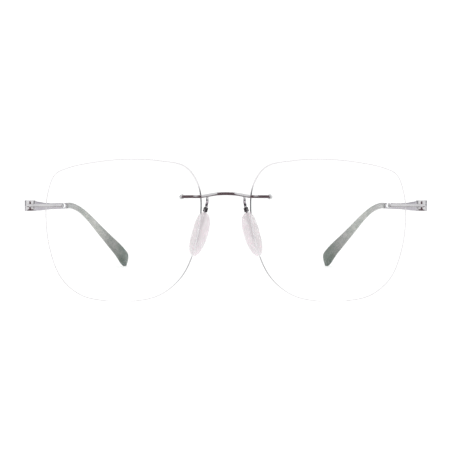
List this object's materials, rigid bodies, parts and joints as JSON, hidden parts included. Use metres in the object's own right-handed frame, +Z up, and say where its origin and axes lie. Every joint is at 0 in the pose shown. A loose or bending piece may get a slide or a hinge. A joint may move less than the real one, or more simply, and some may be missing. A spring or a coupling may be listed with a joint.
{
  "type": "rimless eyeglasses",
  "caption": "Rimless eyeglasses with clear lenses on a slim metal bridge, rocking soft nose pads, and hinged metal temples that end in swept-down sleeved tips.",
  "frame": {"origin": "middle of the open glasses, on the surface that the lens bottoms and temple tips stand on", "axes": "+X to the wearer's left, +Y from the front of the lenses back towards the ears, +Z up"},
  "size_m": [0.1418, 0.144, 0.0501],
  "materials": {
    "lens": "clear, polished, with a polished edge",
    "silver_metal": "polished silver-toned plating",
    "dark_metal": "satin dark steel",
    "clear_plastic": "clear moulded plastic",
    "temple_tip": "satin grey-green acetate",
    "nose_pad": "milky translucent silicone"
  },
  "bodies": {
    "front": {"bridge": "silver_metal", "lens_left": "lens", "lens_right": "lens", "bridge_bushing_left": "clear_plastic", "bridge_bushing_right": "clear_plastic", "bridge_washer_left": "clear_plastic", "bridge_washer_right": "clear_plastic", "bridge_nut_left": "silver_metal", "bridge_nut_right": "silver_metal", "endpiece_bushing_left": "clear_plastic", "endpiece_bushing_right": "clear_plastic", "endpiece_washer_left": "clear_plastic", "endpiece_washer_right": "clear_plastic", "endpiece_nut_left": "silver_metal", "endpiece_nut_right": "silver_metal", "endpiece_left": "silver_metal", "endpiece_right": "silver_metal", "pad_arm_left": "silver_metal", "pad_arm_right": "silver_metal", "pad_box_left": "dark_metal", "pad_box_right": "dark_metal", "pad_pin_left": "dark_metal", "pad_pin_right": "dark_metal"},
    "temple_left": {"temple_left": "silver_metal", "temple_tip_left": "temple_tip", "hinge_screw_left": "silver_metal"},
    "temple_right": {"temple_right": "silver_metal", "temple_tip_right": "temple_tip", "hinge_screw_right": "silver_metal"},
    "pad_left": {"nose_pad_left": "nose_pad", "pad_core_left": "clear_plastic"},
    "pad_right": {"nose_pad_right": "nose_pad", "pad_core_right": "clear_plastic"}
  },
  "joints": [
    {"name": "temple_left_fold", "type": "hinge", "parent": "front", "child": "temple_left", "pos_m": [0.069, -0.0623, 0.0334], "axis": [0, 0.0698, 0.9976], "range_deg": [0, 76]},
    {"name": "temple_right_fold", "type": "hinge", "parent": "front", "child": "temple_right", "pos_m": [-0.069, -0.0623, 0.0334], "axis": [0, -0.0698, -0.9976], "range_deg": [0, 62]},
    {"name": "pad_left_rock", "type": "hinge", "parent": "front", "child": "pad_left", "pos_m": [0.0072, -0.0626, 0.0319], "axis": [0.5804, 0.8, 0.1524], "range_deg": [-6, 6]},
    {"name": "pad_right_rock", "type": "hinge", "parent": "front", "child": "pad_right", "pos_m": [-0.0072, -0.0626, 0.0319], "axis": [0.5804, -0.8, -0.1524], "range_deg": [-6, 6]}
  ]
}
